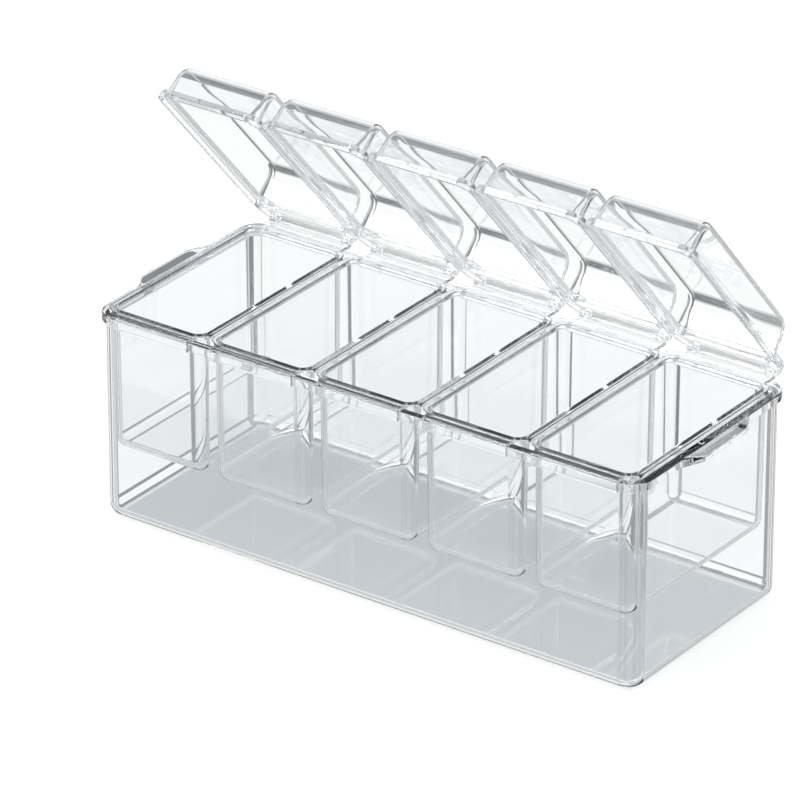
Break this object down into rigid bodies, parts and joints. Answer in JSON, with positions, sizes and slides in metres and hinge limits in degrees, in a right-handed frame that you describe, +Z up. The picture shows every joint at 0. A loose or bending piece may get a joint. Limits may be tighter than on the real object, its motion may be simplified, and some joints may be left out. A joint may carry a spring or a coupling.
{
  "type": "ice serving tray",
  "caption": "Clear ice serving tray: a rectangular tub for crushed ice, a row of lift-out dishes hanging from its rim, and a hinged domed lid on each dish.",
  "frame": {"origin": "middle of the tub's underside, in the plane it rests on", "axes": "+X along the row of dishes, +Y from the front lips towards the hinges, +Z up"},
  "size_m": [0.4042, 0.1688, 0.2664],
  "materials": {
    "clear_tub": "clear gloss",
    "clear_dish": "clear gloss",
    "clear_lid": "clear gloss"
  },
  "bodies": {
    "tray": {"tub": "clear_tub", "dish_1": "clear_dish", "dish_2": "clear_dish", "dish_3": "clear_dish", "dish_4": "clear_dish", "dish_5": "clear_dish"},
    "lid_1_body": {"lid_1": "clear_lid"},
    "lid_2_body": {"lid_2": "clear_lid"},
    "lid_3_body": {"lid_3": "clear_lid"},
    "lid_4_body": {"lid_4": "clear_lid"},
    "lid_5_body": {"lid_5": "clear_lid"}
  },
  "joints": [
    {"name": "lid_1_hinge", "type": "hinge", "parent": "tray", "child": "lid_1_body", "pos_m": [-0.152, 0.082, 0.1394], "axis": [-1, 0, 0], "range_deg": [-48.5, 56.5]},
    {"name": "lid_2_hinge", "type": "hinge", "parent": "tray", "child": "lid_2_body", "pos_m": [-0.076, 0.082, 0.1394], "axis": [-1, 0, 0], "range_deg": [-48.5, 56.5]},
    {"name": "lid_3_hinge", "type": "hinge", "parent": "tray", "child": "lid_3_body", "pos_m": [0, 0.082, 0.1394], "axis": [-1, 0, 0], "range_deg": [-48.5, 56.5]},
    {"name": "lid_4_hinge", "type": "hinge", "parent": "tray", "child": "lid_4_body", "pos_m": [0.076, 0.082, 0.1394], "axis": [-1, 0, 0], "range_deg": [-48.5, 56.5]},
    {"name": "lid_5_hinge", "type": "hinge", "parent": "tray", "child": "lid_5_body", "pos_m": [0.152, 0.082, 0.1394], "axis": [-1, 0, 0], "range_deg": [-48.5, 56.5]}
  ]
}
